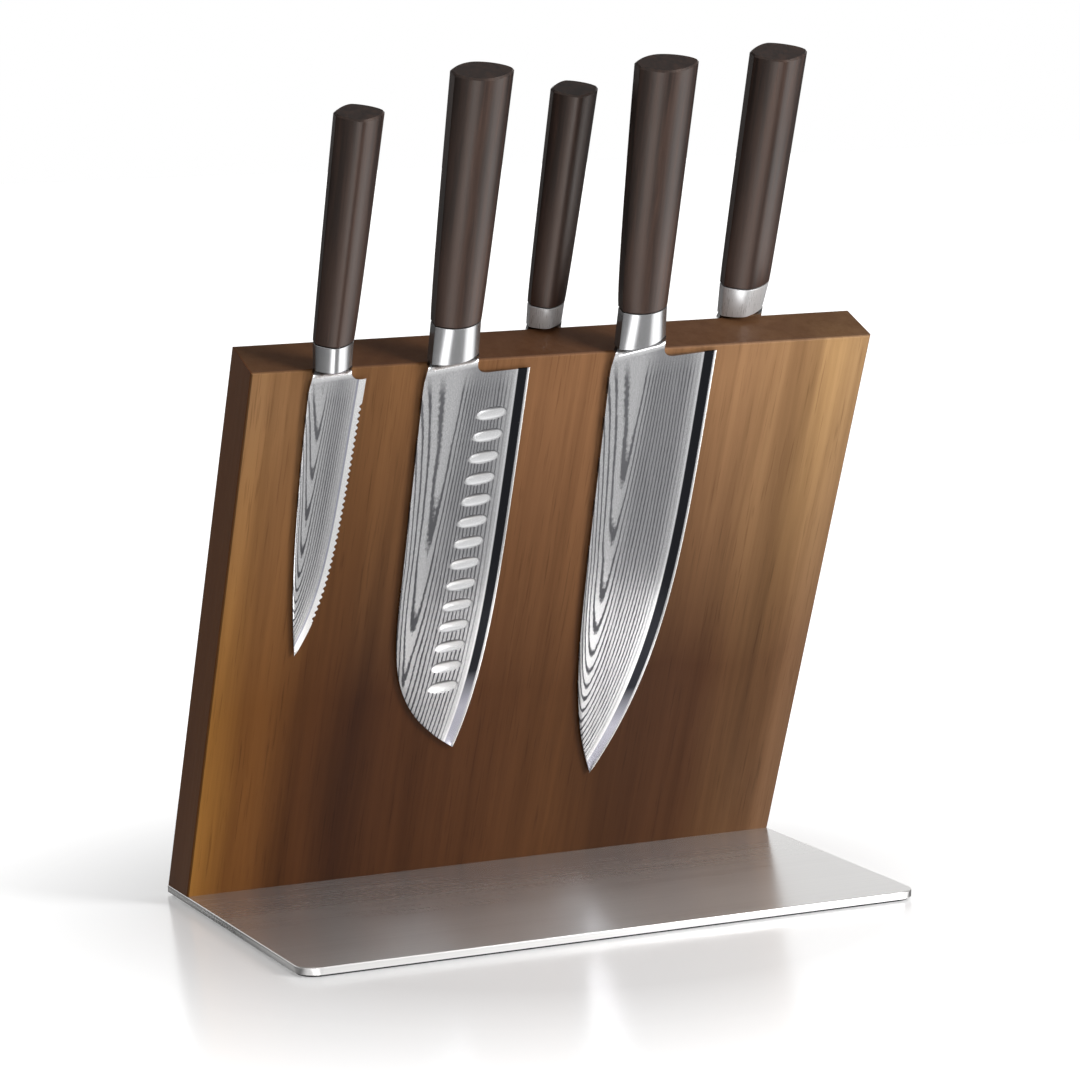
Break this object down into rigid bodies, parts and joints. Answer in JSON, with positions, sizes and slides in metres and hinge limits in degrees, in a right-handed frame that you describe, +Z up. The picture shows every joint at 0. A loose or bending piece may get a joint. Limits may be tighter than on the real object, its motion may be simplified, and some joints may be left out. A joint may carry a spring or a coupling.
{
  "type": "knife block with knives",
  "caption": "Forward-leaning magnetic wooden knife board on a steel base plate, holding kitchen knives with layered steel blades and dark wooden handles on its front and rear faces.",
  "frame": {"origin": "centre of the underside of the base, where it rests on the worktop", "axes": "+X to the right seen from the front, -Y to the front where the board leans, +Z up"},
  "size_m": [0.272, 0.1809, 0.3522],
  "materials": {
    "base_steel": "fine brushed with bright edges",
    "pad_rubber": "matt",
    "screw_steel": "plain",
    "insert_brass": "plain",
    "board_wood": "oiled satin, upright grain",
    "magnet_plating": "nickel plated",
    "keeper_steel": "mill finish",
    "layered_blade_steel": "layered wavy pattern, dark core band and bright edge",
    "bolster_steel": "satin polished",
    "handle_wood": "dark, satin, fine lengthwise grain"
  },
  "bodies": {
    "stand": {"base_plate": "base_steel", "non_slip_pad": "pad_rubber", "base_screws": "screw_steel", "threaded_inserts": "insert_brass", "front_stave_1": "board_wood", "front_stave_2": "board_wood", "front_stave_3": "board_wood", "front_stave_4": "board_wood", "front_stave_5": "board_wood", "rear_stave_1": "board_wood", "rear_stave_2": "board_wood", "rear_stave_3": "board_wood", "rear_stave_4": "board_wood", "rear_stave_5": "board_wood", "front_magnet_upper_1": "magnet_plating", "front_magnet_upper_2": "magnet_plating", "front_magnet_upper_3": "magnet_plating", "front_magnet_upper_4": "magnet_plating", "front_magnet_upper_5": "magnet_plating", "front_magnet_lower_1": "magnet_plating", "front_magnet_lower_2": "magnet_plating", "front_magnet_lower_3": "magnet_plating", "front_magnet_lower_4": "magnet_plating", "front_magnet_lower_5": "magnet_plating", "rear_magnet_upper_1": "magnet_plating", "rear_magnet_upper_2": "magnet_plating", "rear_magnet_upper_3": "magnet_plating", "rear_magnet_upper_4": "magnet_plating", "rear_magnet_upper_5": "magnet_plating", "rear_magnet_lower_1": "magnet_plating", "rear_magnet_lower_2": "magnet_plating", "rear_magnet_lower_3": "magnet_plating", "rear_magnet_lower_4": "magnet_plating", "rear_magnet_lower_5": "magnet_plating", "keeper_strip_upper": "keeper_steel", "keeper_strip_lower": "keeper_steel"},
    "utility_knife": {"utility_blade": "layered_blade_steel", "utility_bolster": "bolster_steel", "utility_handle": "handle_wood"},
    "santoku_knife": {"santoku_blade": "layered_blade_steel", "santoku_bolster": "bolster_steel", "santoku_handle": "handle_wood"},
    "chef_knife": {"chef_blade": "layered_blade_steel", "chef_bolster": "bolster_steel", "chef_handle": "handle_wood"},
    "paring_knife": {"paring_blade": "layered_blade_steel", "paring_bolster": "bolster_steel", "paring_handle": "handle_wood"},
    "bread_knife": {"bread_blade": "layered_blade_steel", "bread_bolster": "bolster_steel", "bread_handle": "handle_wood"}
  },
  "joints": [
    {"name": "utility_draw", "type": "slide", "parent": "stand", "child": "utility_knife", "axis": [-0.0262, -0.3946, 0.9185], "range_m": [0, 0.15]},
    {"name": "santoku_draw", "type": "slide", "parent": "stand", "child": "santoku_knife", "axis": [-0.0384, -0.3945, 0.9181], "range_m": [0, 0.205]},
    {"name": "chef_draw", "type": "slide", "parent": "stand", "child": "chef_knife", "axis": [-0.0576, -0.3941, 0.9173], "range_m": [0, 0.225]},
    {"name": "paring_draw", "type": "slide", "parent": "stand", "child": "paring_knife", "axis": [-0.0332, -0.3945, 0.9183], "range_m": [0, 0.11]},
    {"name": "bread_draw", "type": "slide", "parent": "stand", "child": "bread_knife", "axis": [-0.0436, -0.3944, 0.9179], "range_m": [0, 0.225]}
  ]
}
